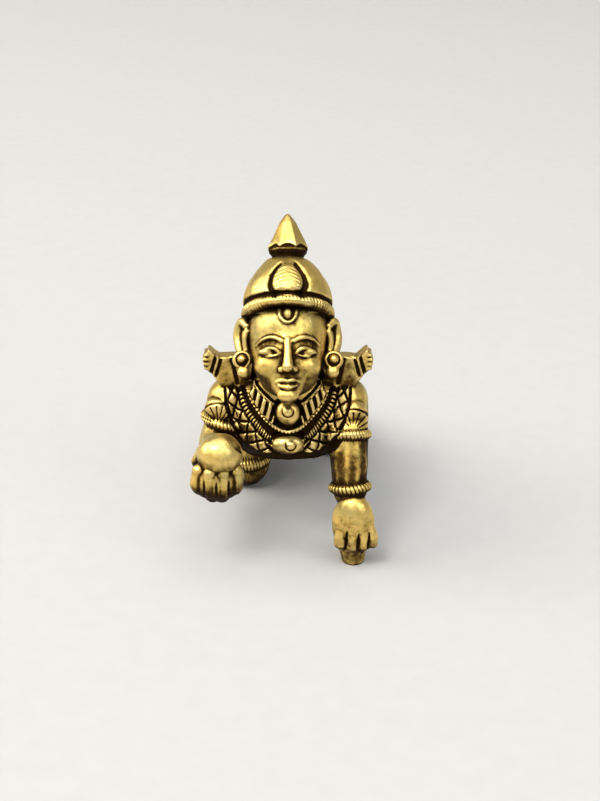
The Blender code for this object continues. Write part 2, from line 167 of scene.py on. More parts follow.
def add_ball(clay, centre, radii, turn=(0, 0, 0), frame=WORLD):
    """A ball or an egg; turn is in degrees about x, y and z."""
    radii = radii if hasattr(radii, "__len__") else (radii,) * 3
    mesh = BALL.copy()
    mesh.transform(frame @ Matrix.LocRotScale(Vector(centre), Euler(map(math.radians, turn)), Vector(radii)))
    add_mesh(clay, mesh)


def add_tube(clay, points, radii, closed=False, frame=WORLD):
    """A round bar through points, with a ball at each open end."""
    points = [Vector(point) for point in points]
    radii = list(radii) if hasattr(radii, "__len__") else [radii] * len(points)
    curve = bpy.data.curves.new("bar", "CURVE")
    curve.dimensions = "3D"
    curve.bevel_depth = 1
    curve.bevel_resolution = 3
    curve.use_fill_caps = True
    curve.resolution_u = 6
    spline = curve.splines.new("BEZIER")
    spline.bezier_points.add(len(points) - 1)
    for bezier, point, radius in zip(spline.bezier_points, points, radii):
        bezier.co = frame @ point
        bezier.radius = radius
        bezier.handle_left_type = bezier.handle_right_type = "AUTO"
    spline.use_cyclic_u = closed
    holder = bpy.data.objects.new("bar", curve)
    bpy.context.scene.collection.objects.link(holder)
    mesh = bpy.data.meshes.new_from_object(holder.evaluated_get(bpy.context.evaluated_depsgraph_get()))
    bpy.data.objects.remove(holder)
    bpy.data.curves.remove(curve)
    add_mesh(clay, mesh)
    if not closed:
        add_ball(clay, points[0], radii[0], frame=frame)
        add_ball(clay, points[-1], radii[-1], frame=frame)


def add_turned(clay, profile, frame=WORLD, steps=48):
    """A solid of revolution about z from (radius, height) pairs, made by a screw of the profile."""
    mesh = bpy.data.meshes.new("turned")
    mesh.from_pydata([(radius, 0, height) for radius, height in profile],
                     [(i, i + 1) for i in range(len(profile) - 1)], [])
    holder = bpy.data.objects.new("turned", mesh)
    bpy.context.scene.collection.objects.link(holder)
    baked(holder, "SCREW", axis="Z", steps=steps, render_steps=steps, use_merge_vertices=True,
          merge_threshold=1e-4)
    mesh = holder.data.copy()
    mesh.transform(frame)
    bpy.data.objects.remove(holder)
    add_mesh(clay, mesh)


def add_slab(clay, outline, depth, frame=WORLD):
    """A flat outline in x and z, as thick as depth along y."""
    mesh = bpy.data.meshes.new("slab")
    mesh.from_pydata([(x, -depth / 2, z) for x, z in outline], [], [range(len(outline))])
    slab = bmesh.new()
    slab.from_mesh(mesh)
    made = bmesh.ops.extrude_face_region(slab, geom=slab.faces[:])
    moved = [item for item in made["geom"] if isinstance(item, bmesh.types.BMVert)]
    bmesh.ops.translate(slab, vec=(0, depth, 0), verts=moved)
    bmesh.ops.recalc_face_normals(slab, faces=slab.faces[:])
    slab.to_mesh(mesh)
    slab.free()
    mesh.transform(frame)
    add_mesh(clay, mesh)


def ring(centre, axis, across, along, count=24, tilt=0.0):
    """Points round an ellipse about axis; across is its reach in x, and tilt lifts its -y side along axis."""
    axis = Vector(axis).normalized()
    side = (Vector((1, 0, 0)) - axis * axis.x).normalized()
    other = axis.cross(side)
    angles = [2 * math.pi * i / count for i in range(count)]
    return [Vector(centre) + side * across * math.cos(a) + other * along * math.sin(a)
            - axis * tilt * math.sin(a) for a in angles]


def to_object(clay, name):
    mesh = bpy.data.meshes.new(name)
    clay.to_mesh(mesh)
    clay.free()
    made = bpy.data.objects.new(name, mesh)
    bpy.context.scene.collection.objects.link(made)
    return made


def baked(made, kind, **settings):
    """Puts one modifier on an object and applies it."""
    modifier = made.modifiers.new(kind.title(), kind)
    for key, value in settings.items():
        setattr(modifier, key, value)
    mesh = bpy.data.meshes.new_from_object(made.evaluated_get(bpy.context.evaluated_depsgraph_get()))
    made.modifiers.clear()
    made.data = mesh
    return made


def fused(made, cell, reach):
    """Joins overlapping forms into one skin and rounds its creases over about reach."""
    baked(made, "REMESH", mode="VOXEL", voxel_size=cell)
    return baked(made, "SMOOTH", factor=0.5, iterations=max(1, round(2 * (reach / cell) ** 2)))


def without_pockets(made):
    """Keeps the outer skin and drops the closed pockets that joining leaves inside it."""
    clay = bmesh.new()
    clay.from_mesh(made.data)
    left = set(clay.verts)
    shells = []
    while left:
        shell = {left.pop()}
        front = list(shell)
        while front:
            near = [edge.other_vert(vertex) for vertex in front for edge in vertex.link_edges]
            front = [vertex for vertex in set(near) if vertex in left]
            left.difference_update(front)
            shell.update(front)
        shells.append(shell)
    outer = max(shells, key=len)
    bmesh.ops.delete(clay, geom=[vertex for vertex in clay.verts if vertex not in outer], context="VERTS")
    clay.to_mesh(made.data)
    clay.free()
    return made


def cut_flat(made, point, out):
    """Cuts away what lies beyond a plane and closes the cut."""
    clay = bmesh.new()
    clay.from_mesh(made.data)
    everything = clay.verts[:] + clay.edges[:] + clay.faces[:]
    bmesh.ops.bisect_plane(clay, geom=everything, dist=1e-5, plane_co=point, plane_no=out, clear_outer=True)
    bmesh.ops.holes_fill(clay, edges=[edge for edge in clay.edges if edge.is_boundary], sides=0)
    clay.to_mesh(made.data)
    clay.free()


def form_head(clay):
    add_ball(clay, (0, 0.2, 2.2), (6.2, 6.3, 6.6), frame=HEAD)
    add_ball(clay, (0, -0.7, -0.8), (5.7, 5.7, 6.2), frame=HEAD)
    add_ball(clay, (0, -1.9, -4.0), (4.6, 4.2, 3.8), frame=HEAD)
    add_ball(clay, (0, -4.2, -6.6), (2.3, 1.7, 1.7), frame=HEAD)
    for side in SIDES:
        add_ball(clay, (side * 2.7, -3.7, -3.2), (2.3, 2.2, 2.3), frame=HEAD)
    add_tube(clay, [(0, -8.5, 24), (0, -12.2, 31)], [4.6, 4.2])


def form_torso(clay):
    add_ball(clay, (0, -10.2, 21.6), (9.4, 6.6, 7.6))
    add_ball(clay, (0, -10.6, 18.2), (8.8, 6.4, 5.6))
    add_ball(clay, (0, -4.0, 22.0), (9.2, 8.0, 6.6))
    add_ball(clay, (0, 3.0, 18.6), (8.6, 10.5, 7.4), turn=(8, 0, 0))
    for side in SIDES:
        add_ball(clay, (side * 3.7, 13.2, 17.2), (5.8, 7.0, 7.2))
    add_ball(clay, (0, 13.6, 17.8), (4.4, 6.6, 6.8))


def form_limbs(clay):
    add_tube(clay, [(8.8, -10.4, 23.1), (9.2, -13.2, 19.6), (9.4, -16.2, 15.4), (9.5, -18.4, 11.4)],
             [3.7, 3.3, 3.0, 2.6])
    add_tube(clay, [(-8.8, -10.4, 23.1), (-9.8, -11.4, 19.8), (-10.6, -12.6, 17.4), (-10.8, -19.0, 17.2)],
             [3.7, 3.2, 3.1, 2.7])
    add_tube(clay, [(-5.0, 12.5, 15.5), (-6.9, 8.2, 9.6), (-7.1, 5.6, 3.9)], [6.2, 4.9, 4.1])
    add_tube(clay, [(-7.1, 6.2, 3.5), (-7.0, 11.2, 3.1), (-6.9, 16.2, 2.5)], [3.9, 3.4, 2.5])
    add_tube(clay, [(5.0, 14.5, 15.0), (6.8, 16.5, 10.0), (7.4, 17.2, 4.3)], [6.2, 5.2, 4.5])
    add_tube(clay, [(7.4, 17.8, 3.7), (7.4, 22.5, 3.1), (7.3, 27.0, 2.5)], [4.3, 3.5, 2.5])


def form_planted_hand(clay):
    add_ball(clay, (10.0, -20.3, 7.0), (3.3, 2.45, 4.7))
    add_tube(clay, [(10.1, -19.8, 0.8), (10.0, -20.0, 3.6)], [1.9, 2.4])
    for x, thick, foot in ((8.05, 1.0, 4.2), (9.85, 1.1, 3.8), (11.6, 1.0, 3.8), (12.95, 0.85, 4.2)):
        add_tube(clay, [(x * 0.8 + 2.05, -21.2, 6.6), (x, -21.7, 5.3), (x, -21.7, foot)], [0.9, thick, thick])


def form_raised_hand(clay):
    add_ball(clay, (-10.5, -22.6, 16.1), (4.0, 3.9, 3.6))
    add_ball(clay, (-10.1, -23.1, 20.1), (3.4, 3.2, 3.2))
    for x in (-13.3, -11.5, -9.6, -7.8):
        tuck = 0.14 * (x + 10.5) ** 2
        add_tube(clay, [(-10.5 + (x + 10.5) * 0.75, -24.1 + tuck, 13.8 + 0.6 * tuck), (x, -25.3 + tuck, 15.6),
                        (x, -25.3 + tuck, 18.0)], [1.25, 1.25, 1.0])
    add_tube(clay, [(-13.3, -20.4, 16.8), (-13.5, -21.8, 18.6), (-12.9, -22.6, 19.8)], [0.95, 0.9, 0.8])


def form_feet(clay):
    for side, y in ((-1, 17.0), (1, 27.6)):
        x = 7.1 * side
        add_ball(clay, (x, y + 2.2, 2.2), (2.7, 4.0, 2.5), turn=(6, 0, 0))
        add_ball(clay, (x, y + 4.6, 1.5), (2.9, 2.5, 1.8), turn=(4, 0, 0))
        for i, size in enumerate((1.15, 1.0, 0.95, 0.9, 0.82)):
            toe = (x - side * (2.15 - i * 1.08), y + 7.0 - i * 0.3, 1.0)
            add_ball(clay, toe, (size * 0.7, size * 1.25, size))


def form_crown(clay):
    """The dome, whose foot leans with the band, the band and the finial; it is the first form in the clay."""
    add_turned(clay, [(0, 14.2), (2.5, 14.1), (2.6, 13.5), (3.5, 12.7), (4.75, 11.4), (5.75, 9.9), (6.4, 8.4),
                      (6.7, 7.0), (6.7, 5.8), (6.5, BAND_HEIGHT), (0, BAND_HEIGHT - 1)])
    for vertex in clay.verts:
        foot = min(1, max(0, (9.5 - vertex.co.z) / (9.5 - BAND_HEIGHT)))
        vertex.co.z -= BAND_RISE * foot * vertex.co.y / BAND_RADIUS
        vertex.co = HEAD @ vertex.co
    finial = [(0, 20.3), (0.4, 20.1), (1.3, 18.8), (2.1, 17.3), (2.85, 15.8), (3.4, 14.7), (3.4, 14.3),
              (2.9, 13.7), (0, 13.4)]
    add_turned(clay, finial, HEAD @ Matrix.Rotation(math.pi / 8, 4, "Z"), steps=8)
    add_tube(clay, ring((0, 0, BAND_HEIGHT), (0, 0, 1), BAND_ACROSS, BAND_RADIUS + 0.1, 32, BAND_RISE),
             BAND_THICK, closed=True, frame=HEAD)


def form_hair(clay):
    add_ball(clay, (0, 4.6, -0.6), (5.0, 2.6, 4.6), frame=HEAD)


def form_ears(clay):
    for side in SIDES:
        rim = [(side * 6.1, -1.4, 3.0), (side * 6.9, -0.5, 3.7), (side * 7.4, 0.3, 2.2),
               (side * 7.3, 0.0, 0.2), (side * 6.8, -0.7, -1.2)]
        add_tube(clay, rim, [0.6, 0.72, 0.78, 0.72, 0.68], frame=HEAD)
        add_ball(clay, (side * 6.2, 0.3, 1.3), (0.9, 1.2, 2.6), frame=HEAD)
        fold = [(side * 6.1, -1.7, 2.2), (side * 6.4, -1.5, 0.8), (side * 6.2, -1.3, -0.9)]
        add_tube(clay, fold, 0.42, frame=HEAD)
        add_ball(clay, (side * 6.8, -1.9, -2.1), (1.45, 0.8, 1.45), frame=HEAD)
        add_ball(clay, (side * 6.8, -2.6, -2.1), 0.68, frame=HEAD)
        add_ball(clay, (side * 6.6, -1.8, -3.9), (0.95, 0.8, 0.95), frame=HEAD)


def form_scarf(clay):
    """A scarf round the nape whose stiff flared ends stand on the shoulders."""
    for side in SIDES:
        outline = [(5.4, 31.2), (8.6, 31.2), (10.4, 31.0), (11.9, 32.3), (12.6, 31.6), (12.9, 30.6),
                   (12.75, 29.3), (11.6, 28.3), (10.8, 27.2), (9.4, 25.6), (5.4, 25.2)]
        add_slab(clay, [(side * x, z) for x, z in outline], 2.4, frame=Matrix.Translation((0, -11.4, 0)))
    roll = [(-7.5, -9.8, 28.6), (-4.2, -5.6, 28.8), (0, -4.2, 28.9), (4.2, -5.6, 28.8), (7.5, -9.8, 28.6)]
    add_tube(clay, roll, [1.7, 1.5, 1.6, 1.5, 1.7])


def form_bands(clay):
    """Arm rings, wrist rings, the hems over the knees, anklets and the belt."""
    for centre, axis, across, along, thick in RINGS:
        add_tube(clay, ring(centre, axis, across, along), thick, closed=True)


def form_arm_leaves(clay):
    add_ball(clay, (9.7, -13.6, 22.2), (2.5, 1.8, 2.3), turn=(15, 0, 20))
    add_ball(clay, (-10.7, -12.9, 22.4), (2.2, 1.8, 2.3), turn=(10, 0, -25))


def form_pendants(clay, skin):
    """The round pendant, the plaque under it and the boss on each, seated on the chest."""
    def on(x, down, out):
        start = CHEST + Vector((x, 0, 0)) - CHEST_UP * down + CHEST_OUT * 20
        return skin.ray_cast(start, -CHEST_OUT)[0] + CHEST_OUT * out

    add_ball(clay, on(0, 4.4, 0.1), (1.5, 1.0, 1.6), turn=(-25, 0, 0))
    add_ball(clay, on(0, 4.2, 0.9), 0.58)
    add_ball(clay, on(0.1, 9.2, 0.1), (2.2, 1.1, 1.2), turn=(-25, 0, 0))
    add_ball(clay, on(0.45, 9.3, 0.95), 0.62)


def form_face(clay, skin):
    """A calm child's face by the rule of thirds: brow, nose, mouth and chin below the crown band."""
    def on(x, u, out=0.0):
        """The place on the bare head at x and u, lifted by out."""
        found = skin.ray_cast(HEAD @ Vector((x, -20, u)), HEAD.to_3x3() @ Vector((0, 1, 0)))
        return HEAD.inverted() @ found[0] + Vector((0, -out, 0))

    add_tube(clay, [on(0, 0.5, -0.25), on(0, -1.3, 0.1), on(0, -3.6, 0.75)], [0.5, 0.6, 0.85], frame=HEAD)
    add_tube(clay, [on(-1.75, -5.75, -0.05), on(-0.6, -5.5, 0.1), on(0, -5.65, 0.1), on(0.6, -5.5, 0.1),
                    on(1.75, -5.75, -0.05)], [0.18, 0.4, 0.36, 0.4, 0.18], frame=HEAD)
    lower_lip = [on(-1.3, -6.25, 0.0), on(0, -6.55, 0.1), on(1.3, -6.25, 0.0)]
    add_tube(clay, lower_lip, [0.22, 0.5, 0.22], frame=HEAD)
    add_ball(clay, on(0, -7.6, -0.55), (1.6, 1.1, 1.1), frame=HEAD)
    for side in SIDES:
        add_ball(clay, on(side * 0.85, -3.95, 0.1), (0.6, 0.65, 0.5), frame=HEAD)
        add_ball(clay, on(side * 2.7, -1.3, -0.3), (1.55, 0.72, 0.62), frame=HEAD)
        lid = [on(side * 1.2, -1.6, 0.1), on(side * 1.9, -0.95, 0.28), on(side * 2.9, -0.8, 0.3),
               on(side * 4.2, -1.4, 0.1)]
        add_tube(clay, lid, [0.2, 0.3, 0.3, 0.18], frame=HEAD)
        add_tube(clay, [on(side * 1.4, -1.75, 0.05), on(side * 2.7, -2.0, 0.15), on(side * 4.0, -1.6, 0.0)],
                 [0.15, 0.2, 0.15], frame=HEAD)
        brow = [on(side * 0.9, 0.25, 0.05), on(side * 2.1, 0.8, 0.15), on(side * 3.4, 0.65, 0.15),
                on(side * 4.7, -0.2, 0.05)]
        add_tube(clay, brow, [0.34, 0.38, 0.34, 0.2], frame=HEAD)
    mark = [on(-1.25, 5.0, 0.1), on(-1.05, 3.8, 0.1), on(0, 3.0, 0.12), on(1.05, 3.8, 0.1),
            on(1.25, 5.0, 0.1)]
    add_tube(clay, mark, 0.26, frame=HEAD)
    add_ball(clay, on(0, 4.4, -0.08), (0.6, 0.4, 0.95), frame=HEAD)


def ridge(value, start, end, soft=0.12):
    """One between start and end, falling to nothing over soft on either side."""
    return np.clip((value - start) / soft + 0.5, 0, 1) * np.clip((end - value) / soft + 0.5, 0, 1)


def groove(value, width):
    """One along the line where value is nothing, fading over width."""
    return np.exp(-(value / width) ** 2)


def saw(value):
    """A zigzag between 0 and 1 with one tooth for each whole step of value."""
    return np.abs(2 * (value - np.floor(value + 0.5)))


def in_head(places):
    """Places along the head's own axes: x across, y back and z up through the crown."""
    flat = HEAD.inverted()
    return places @ np.array(flat.to_3x3()).T + np.array(flat.translation)


def necklace_relief(places, facing):
    """The collar of hanging bars, the bead string in its trench, the garland of leaves and the pendants."""
    across = np.abs(places[:, 0])
    down = -(places - np.array(CHEST)) @ np.array(CHEST_UP)
    out = np.hypot(across, down)
    turn = np.degrees(np.arctan2(down, across))
    borders = (COLLAR_INNER, COLLAR_OUTER, STRING, GARLAND)
    inner, outer, string, rim = (np.interp(turn, TURN, line) for line in borders)
    along = np.radians(turn) * (inner + outer) / 2
    gaps = np.clip(1.9 - saw((across - 0.28 * down) / BAR_STEP) * 3.4, 0, 1)
    foot = np.minimum(outer - 0.35, np.interp(turn, (58, 72), (9.0, 5.6)))
    bars = 0.45 * ridge(out, inner + 0.2, foot) - 0.65 * ridge(out, inner + 0.3, outer - 0.4) * np.where(
        out < foot, gaps, 1.0)
    chain = 0.34 * groove(out - inner, 0.14) - 0.25 * groove(out - inner + 0.34, 0.13)
    chain += 0.3 * groove(out - outer + 0.02, 0.14) * (0.5 + 0.5 * np.cos(along * 2 * math.pi / 0.5))
    between = saw(np.radians(turn) * string / BEAD_STEP - 0.25 * (out - string))
    beads = ridge(out, string - 0.36, string + 0.36, 0.2) * (0.45 - 0.75 * np.clip(1.4 - 2.8 * between, 0, 1))
    trench = -0.45 * ridge(out, outer + 0.2, string - 0.42, 0.25) - 0.42 * groove(out - string - 0.52, 0.15)
    start = string + 0.68
    width = np.clip((out - start) / np.maximum(rim - start, 0.4), 0, 1)
    step = np.radians(turn) * (string + rim) / 2 / LEAF_STEP
    lines = sum(np.clip(1.4 - saw(step + slant * width) * 5.0, 0, 1) for slant in (1, -1))
    leaves = 0.42 * ridge(out, start, rim) - 0.62 * ridge(out, start, rim) * np.clip(lines, 0, 1)
    low = np.clip((turn - 46) / 8, 0, 1)
    edge = -0.45 * groove(out - rim - 0.28, 0.17) * (1 - low) - 0.3 * ridge(out, rim + 0.1, rim + 1.5) * low
    height = bars + chain + beads + trench + leaves + edge
    for (middle, level), (wide, tall), boss in PENDANTS:
        disc = (np.abs(places[:, 0] - middle) / wide) ** SQUARENESS
        disc += (np.abs(down - level) / tall) ** SQUARENESS
        disc = disc ** (1 / SQUARENESS)
        cover = np.clip((1.1 - disc) / 0.1, 0, 1)
        knob = np.hypot(places[:, 0] - boss[0], down - boss[1])
        face = 0.3 - 0.3 * groove(knob - 0.74, 0.13) * np.clip(0.75 + (down - boss[1]) / 0.8, 0, 1)
        sides = 0.6 * groove(disc - 1.32, 0.2) * np.clip((across / wide - 0.3) / 0.3, 0, 1)
        height = np.where(disc < 1.8, height * (1 - cover) + face * cover - sides, height)
    top = np.where(across > 5.2, 26.2, 28.5)
    there = (facing @ np.array(CHEST_OUT) > 0.05) & (turn > -6) & (places[:, 1] < -7) & (places[:, 2] < top)
    return np.where(there, height, 0.0)


def crown_relief(places):
    """The veined leaf on the front and back of the dome, the petals and the cuts under the finial."""
    x, y, u = in_head(places).T
    turn = np.arctan2(x, -y)
    side = np.minimum(np.abs(turn), math.pi - np.abs(turn))
    leaf = np.hypot(side / 0.38, (u - 9.4) / 2.6)
    swell = np.where(y < 0, 0.45, 0.3)
    veins = 0.05 * np.cos((u + 2.4 * side) * 2 * math.pi / 0.6) * np.clip(side / 0.1, 0, 1)
    height = np.clip(1 - leaf ** 2, 0, 1) ** 0.5 * swell + veins * ridge(leaf, -1, 0.9, 0.2)
    flank = np.clip((side / 0.38 / np.maximum(leaf, 0.1) - 0.42) / 0.3, 0, 1)
    height -= 0.6 * groove(leaf - 1.18, np.where(turn > 0, 0.2, 0.15)) * flank
    petal = np.clip((side - 0.5) / (math.pi / 2 - 0.5), 0, 1)
    height += 0.16 * np.sin(math.pi * petal) - 0.3 * groove(side - math.pi / 2, 0.035)
    height += 0.05 * np.cos(turn * 84) * np.clip((8.4 - u) / 1.8, 0, 1) * (side > 0.55)
    height -= 0.5 * groove(u - BAND_HEIGHT - 1.3 - BAND_RISE * 0.9 * -y / BAND_RADIUS, 0.3)
    out = np.hypot(x, y)
    dome = (u > 4.6) & (u < 13.0) & (out > 2.6) & (out < 7.8)
    scallop = 14.9 + 0.5 * np.abs(np.cos(4 * turn))
    under = (u > 13.3) & (out > 2.0) & (out < 4.0)
    return np.where(dome, height, 0.0) - np.where(under, 0.3 * np.clip((scallop - u) / 0.15, 0, 1), 0.0)


def ring_relief(places):
    """The slanting ribs cut into every ring, the crown band among them."""
    band = (HEAD @ Vector((0, 0, BAND_HEIGHT)), HEAD.to_3x3() @ Vector((0, 0, 1)), BAND_ACROSS,
            BAND_RADIUS + 0.1, BAND_THICK)
    height = np.zeros(len(places))
    for number, (centre, axis, across, along, thick) in enumerate([band] + RINGS):
        tilt = BAND_RISE if number == 0 else 0.0
        axis = Vector(axis).normalized()
        side = (Vector((1, 0, 0)) - axis * axis.x).normalized()
        other = np.array(axis.cross(side))
        axis, side = np.array(axis), np.array(side)
        from_centre = places - np.array(centre)
        turn = np.arctan2(from_centre @ other / along, from_centre @ side / across)
        cos, sin = np.cos(turn)[:, None], np.sin(turn)[:, None]
        core = side * across * cos + other * along * sin - axis * tilt * sin
        off = from_centre - core
        count = round(math.pi * (across + along) / RIB_STEP)
        near = np.clip((thick + 0.45 - np.linalg.norm(off, axis=1)) / 0.2, 0, 1)
        if number == 0:
            near *= np.clip((off @ axis) / 0.4 + 0.4, 0, 1)
        tooth = saw((turn * count + 1.6 * (off @ axis) / thick) / math.tau)
        height += near * (0.04 - 0.13 * np.clip(1.2 - 2.6 * tooth, 0, 1))
    return height


def arm_leaf_relief(places, facing):
    """A fan of ribs on each upper arm above the arm ring."""
    down = -(places - np.array(CHEST)) @ np.array(CHEST_UP)
    height = np.zeros(len(places))
    for x, foot, lean in ((10.0, 7.2, 0.35), (-10.6, 6.2, -0.1)):
        reach = np.hypot(places[:, 0] - x, foot - down)
        turn = np.arctan2(places[:, 0] - x, foot - down) - lean
        fan = -0.2 * np.clip(1.0 - 2.6 * saw(turn / 0.36), 0, 1) * ridge(reach, 1.0, 2.9, 0.3)
        fan -= 0.18 * groove(reach - 3.3, 0.16)
        height += fan * (np.abs(turn) < 1.3) * (np.abs(places[:, 0] - x) < 4)
    there = (facing @ np.array(CHEST_OUT) > 0.1) & (places[:, 1] < -9) & (places[:, 1] > -18)
    return np.where(there, height, 0.0)


def scarf_relief(places, facing):
    """Two slanting cuts and a crease in each flared scarf end, and notches along its outer edge."""
    across, y, z = np.abs(places[:, 0]), places[:, 1], places[:, 2]
    slant = 0.28 * (z - 29.7)
    cuts = 0.42 * groove(across - 11.35 + slant, 0.2) + 0.38 * groove(across - 10.45 + slant, 0.18)
    cuts *= ridge(z, 28.0, 31.6, 0.5)
    cuts += 0.25 * groove(across - 8.1 - 0.2 * (z - 29), 0.25)
    notches = 0.09 * np.cos(z * 2 * math.pi / 0.75) * np.clip((across - 11.9) / 0.4, 0, 1)
    there = (y > -13.4) & (y < -9.6) & (z > 26.6) & (across > 6.5) & (np.abs(facing[:, 1]) > 0.5)
    return np.where(there, -cuts, 0.0) + np.where((across > 11.7) & (z > 26.6) & (z < 33), notches, 0.0)


def hair_relief(places):
    """Locks of hair under the crown at the back of the head."""
    x, y, u = in_head(places).T
    turn = np.arctan2(x, y)
    there = (y > 1.5) & (u < BAND_HEIGHT - 1.6) & (u > -4.6) & (np.abs(turn) < 1.15) & (np.hypot(x, y) < 7.6)
    return np.where(there, 0.11 * np.cos(turn * 34 + 0.8 * u), 0.0)


def cloth_relief(places, facing):
    """The pleats of the cloth behind the belt and the gathered strip down its middle."""
    x, y, z = places.T
    across = np.abs(x)
    strip = 0.4 * np.clip((2.3 - across) / 0.3, 0, 1) - 0.3 * groove(across - 0.75, 0.2)
    strip -= 0.25 * groove(across - 2.5, 0.2)
    over = (y > 7.6) & (facing[:, 2] + facing[:, 1] > 0.2) & (z > 12)
    turn = np.arctan2(x, z - 15)
    pleats = -0.16 * np.clip(np.cos(turn * 26 + 0.35 * np.sin(y * 0.5)), 0.2, 1) * (across > 2.6)
    wraps = (y > 7.8) & (z > 8.2)
    return np.where(over, strip, 0.0) + np.where(wraps, pleats, 0.0)


def hand_made(places):
    """The slow unevenness of a form chased by hand."""
    waves = [((0.9, 0.3, 0.5), 5.3), ((-0.4, 0.8, 0.6), 3.9), ((0.2, -0.6, 0.9), 2.7),
             ((0.7, 0.6, -0.5), 1.9)]
    height = np.zeros(len(places))
    for lean, step in waves:
        height += np.sin(places @ np.array(lean) * 2 * math.pi / step + step)
    return 0.022 * height


def ear_relief(places):
    """The ring cut round the bead of each ear ornament."""
    x, y, u = in_head(places).T
    away = np.hypot(np.abs(x) - 6.8, u + 2.1)
    return np.where((y < -1.5) & (np.abs(x) > 4.5), -0.22 * groove(away - 0.95, 0.14), 0.0)


def hand_relief(places):
    """The thin cuts between the fingers of both hands."""
    x, y, z = places.T
    height = np.zeros(len(places))
    for gap, top in ((8.9, 6.4), (10.75, 6.0), (12.35, 6.1)):
        cut = groove(x - gap - 0.08 * (z - 5), 0.12) * ridge(z, 3.2, top, 0.8)
        height -= 0.24 * cut * (y < -20.8) * (x > 5)
    for gap in (-12.4, -10.55, -8.7):
        height -= 0.22 * groove(x - gap, 0.14) * ridge(z, 13.6, 16.8, 1.2) * (y < -23.0) * (x < -5)
    return height


def carve(made):
    """Moves the skin along its normals by the carved reliefs and stores how deep it is cut (engraved)."""
    mesh = made.data
    places = read(mesh.vertices, "co", 3)
    facing = read(mesh.vertex_normals, "vector", 3)
    height = necklace_relief(places, facing) + arm_leaf_relief(places, facing) + scarf_relief(places, facing)
    height += cloth_relief(places, facing) + crown_relief(places) + ring_relief(places) + hair_relief(places)
    height += hand_relief(places) + ear_relief(places)
    store(mesh, "engraved", np.clip(-height / FULL_CUT, 0, 1))
    height += hand_made(places)
    mesh.vertices.foreach_set("co", (places + facing * height[:, None]).ravel())
    mesh.update()


def read(items, what, width):
    """One row of numbers for each vertex, edge or normal."""
    values = np.empty(len(items) * width, dtype=np.int32 if what == "vertices" else np.float64)
    items.foreach_get(what, values)
    return values.reshape(-1, width)


def blurred(values, edges, rounds):
    """Values averaged with their neighbours' along the edges, rounds times."""
    one, two = edges.T
    count = np.bincount(edges.ravel(), minlength=len(values))
    for _ in range(rounds):
        size = len(values)
        around = [np.bincount(one, values[two, i], size) + np.bincount(two, values[one, i], size)
                  for i in range(values.shape[1])]
        values = 0.5 * values + 0.5 * np.stack(around, axis=1) / np.maximum(count, 1)[:, None]
    return values


def store(mesh, name, values):
    """Keeps one number for each vertex, for the material to read."""
    mesh.attributes.new(name, "FLOAT", "POINT").data.foreach_set("value", values)


def painted_light_and_shade(places):
    """Painted shade on the forearm, the raised hand's fingertips and the knee, and, below nothing, painted
    highlight on the planted hand and the raised ball, with the scarf ends made lighter.
    """
    x, y, z = places.T
    forearm = ridge(z, 11.5, 19.0, 1.5) * (y < -11) * (x > 5)
    finger_tips = np.clip((17.6 - z) / 3, 0, 1) * (y < -19) * (x < -5)
    knee = (x < -2) * (y < 6) * (y > -8) * (z < 11)
    planted_hand = (x > 5) * ridge(z, 4.5, 10.5, 2.0)
    sweet = (x < -5) * (z > 18.3)
    scarf_ends = (np.abs(x) > 7) * (z > 26.6) * (y < -9.6) * (y > -13)
    # painted shade: the forearm, the fingertips and the knee are darkened
    left = 0.7 * forearm + 0.75 * finger_tips + 0.3 * knee
    # painted highlight: the planted hand and the raised ball are lightened; the scarf ends are lightened too
    return left - 0.35 * (y < -19) * (planted_hand + sweet) - 0.25 * scarf_ends


def patina_and_painted_light(made):
    """Stores how deep each vertex lies in a recess, where patina stays, plus painted shade, and how far it
    stands out on an edge, where it is rubbed, plus painted highlight.
    """
    mesh = made.data
    places = read(mesh.vertices, "co", 3)
    facing = read(mesh.vertex_normals, "vector", 3)
    edges = read(mesh.edges, "vertices", 2)
    level = places
    sunk_plus_painted_light = np.zeros(len(places))
    for rounds, reach, share in ((5, 0.035, 0.4), (24, 0.1, 0.7), (110, 0.25, 0.3)):
        level = blurred(level, edges, rounds)
        sunk_plus_painted_light += share * np.einsum("ij,ij->i", level - places, facing) / reach
    sunk_plus_painted_light = blurred(sunk_plus_painted_light[:, None], edges, 1)[:, 0]
    # painted shade and painted highlight added to the recess depth
    sunk_plus_painted_light += painted_light_and_shade(places)
    # patina in recesses together with painted shade
    store(mesh, "tarnish", np.clip(sunk_plus_painted_light, 0, 2) / 2)
    # rubbed edges together with painted highlight
    store(mesh, "shine", np.clip(-sunk_plus_painted_light, 0, 2) / 2)


def shadow(made):
    """Stores on each vertex how much of what it faces is closed off by the figure itself."""
    mesh = made.data
    corners = [vertex.co for vertex in mesh.vertices]
    tree = BVHTree.FromPolygons(corners, [face.vertices for face in mesh.polygons])
    golden = math.pi * (3 - math.sqrt(5))
    spread = [Vector((math.cos(golden * i) * r, math.sin(golden * i) * r, math.sqrt(1 - r * r)))
              for i, r in enumerate(math.sqrt((i + 0.5) / RAYS) for i in range(RAYS))]
    values = []
    for vertex in mesh.vertices:
        turn = vertex.normal.to_track_quat("Z", "Y")
        start = vertex.co + vertex.normal * 0.05
        closed = 0.0
        for ray in spread:
            distance = tree.ray_cast(start, turn @ ray, SHADOW_REACH)[3]
            if distance is not None:
                closed += 1 - 0.6 * distance / SHADOW_REACH
        values.append(closed / RAYS)
    store(mesh, "shadow", values)


def thinned(made):
    """Brings the skin down to FACES triangles."""
    count = sum(len(face.vertices) - 2 for face in made.data.polygons)
    return baked(made, "DECIMATE", ratio=min(1, FACES / count))


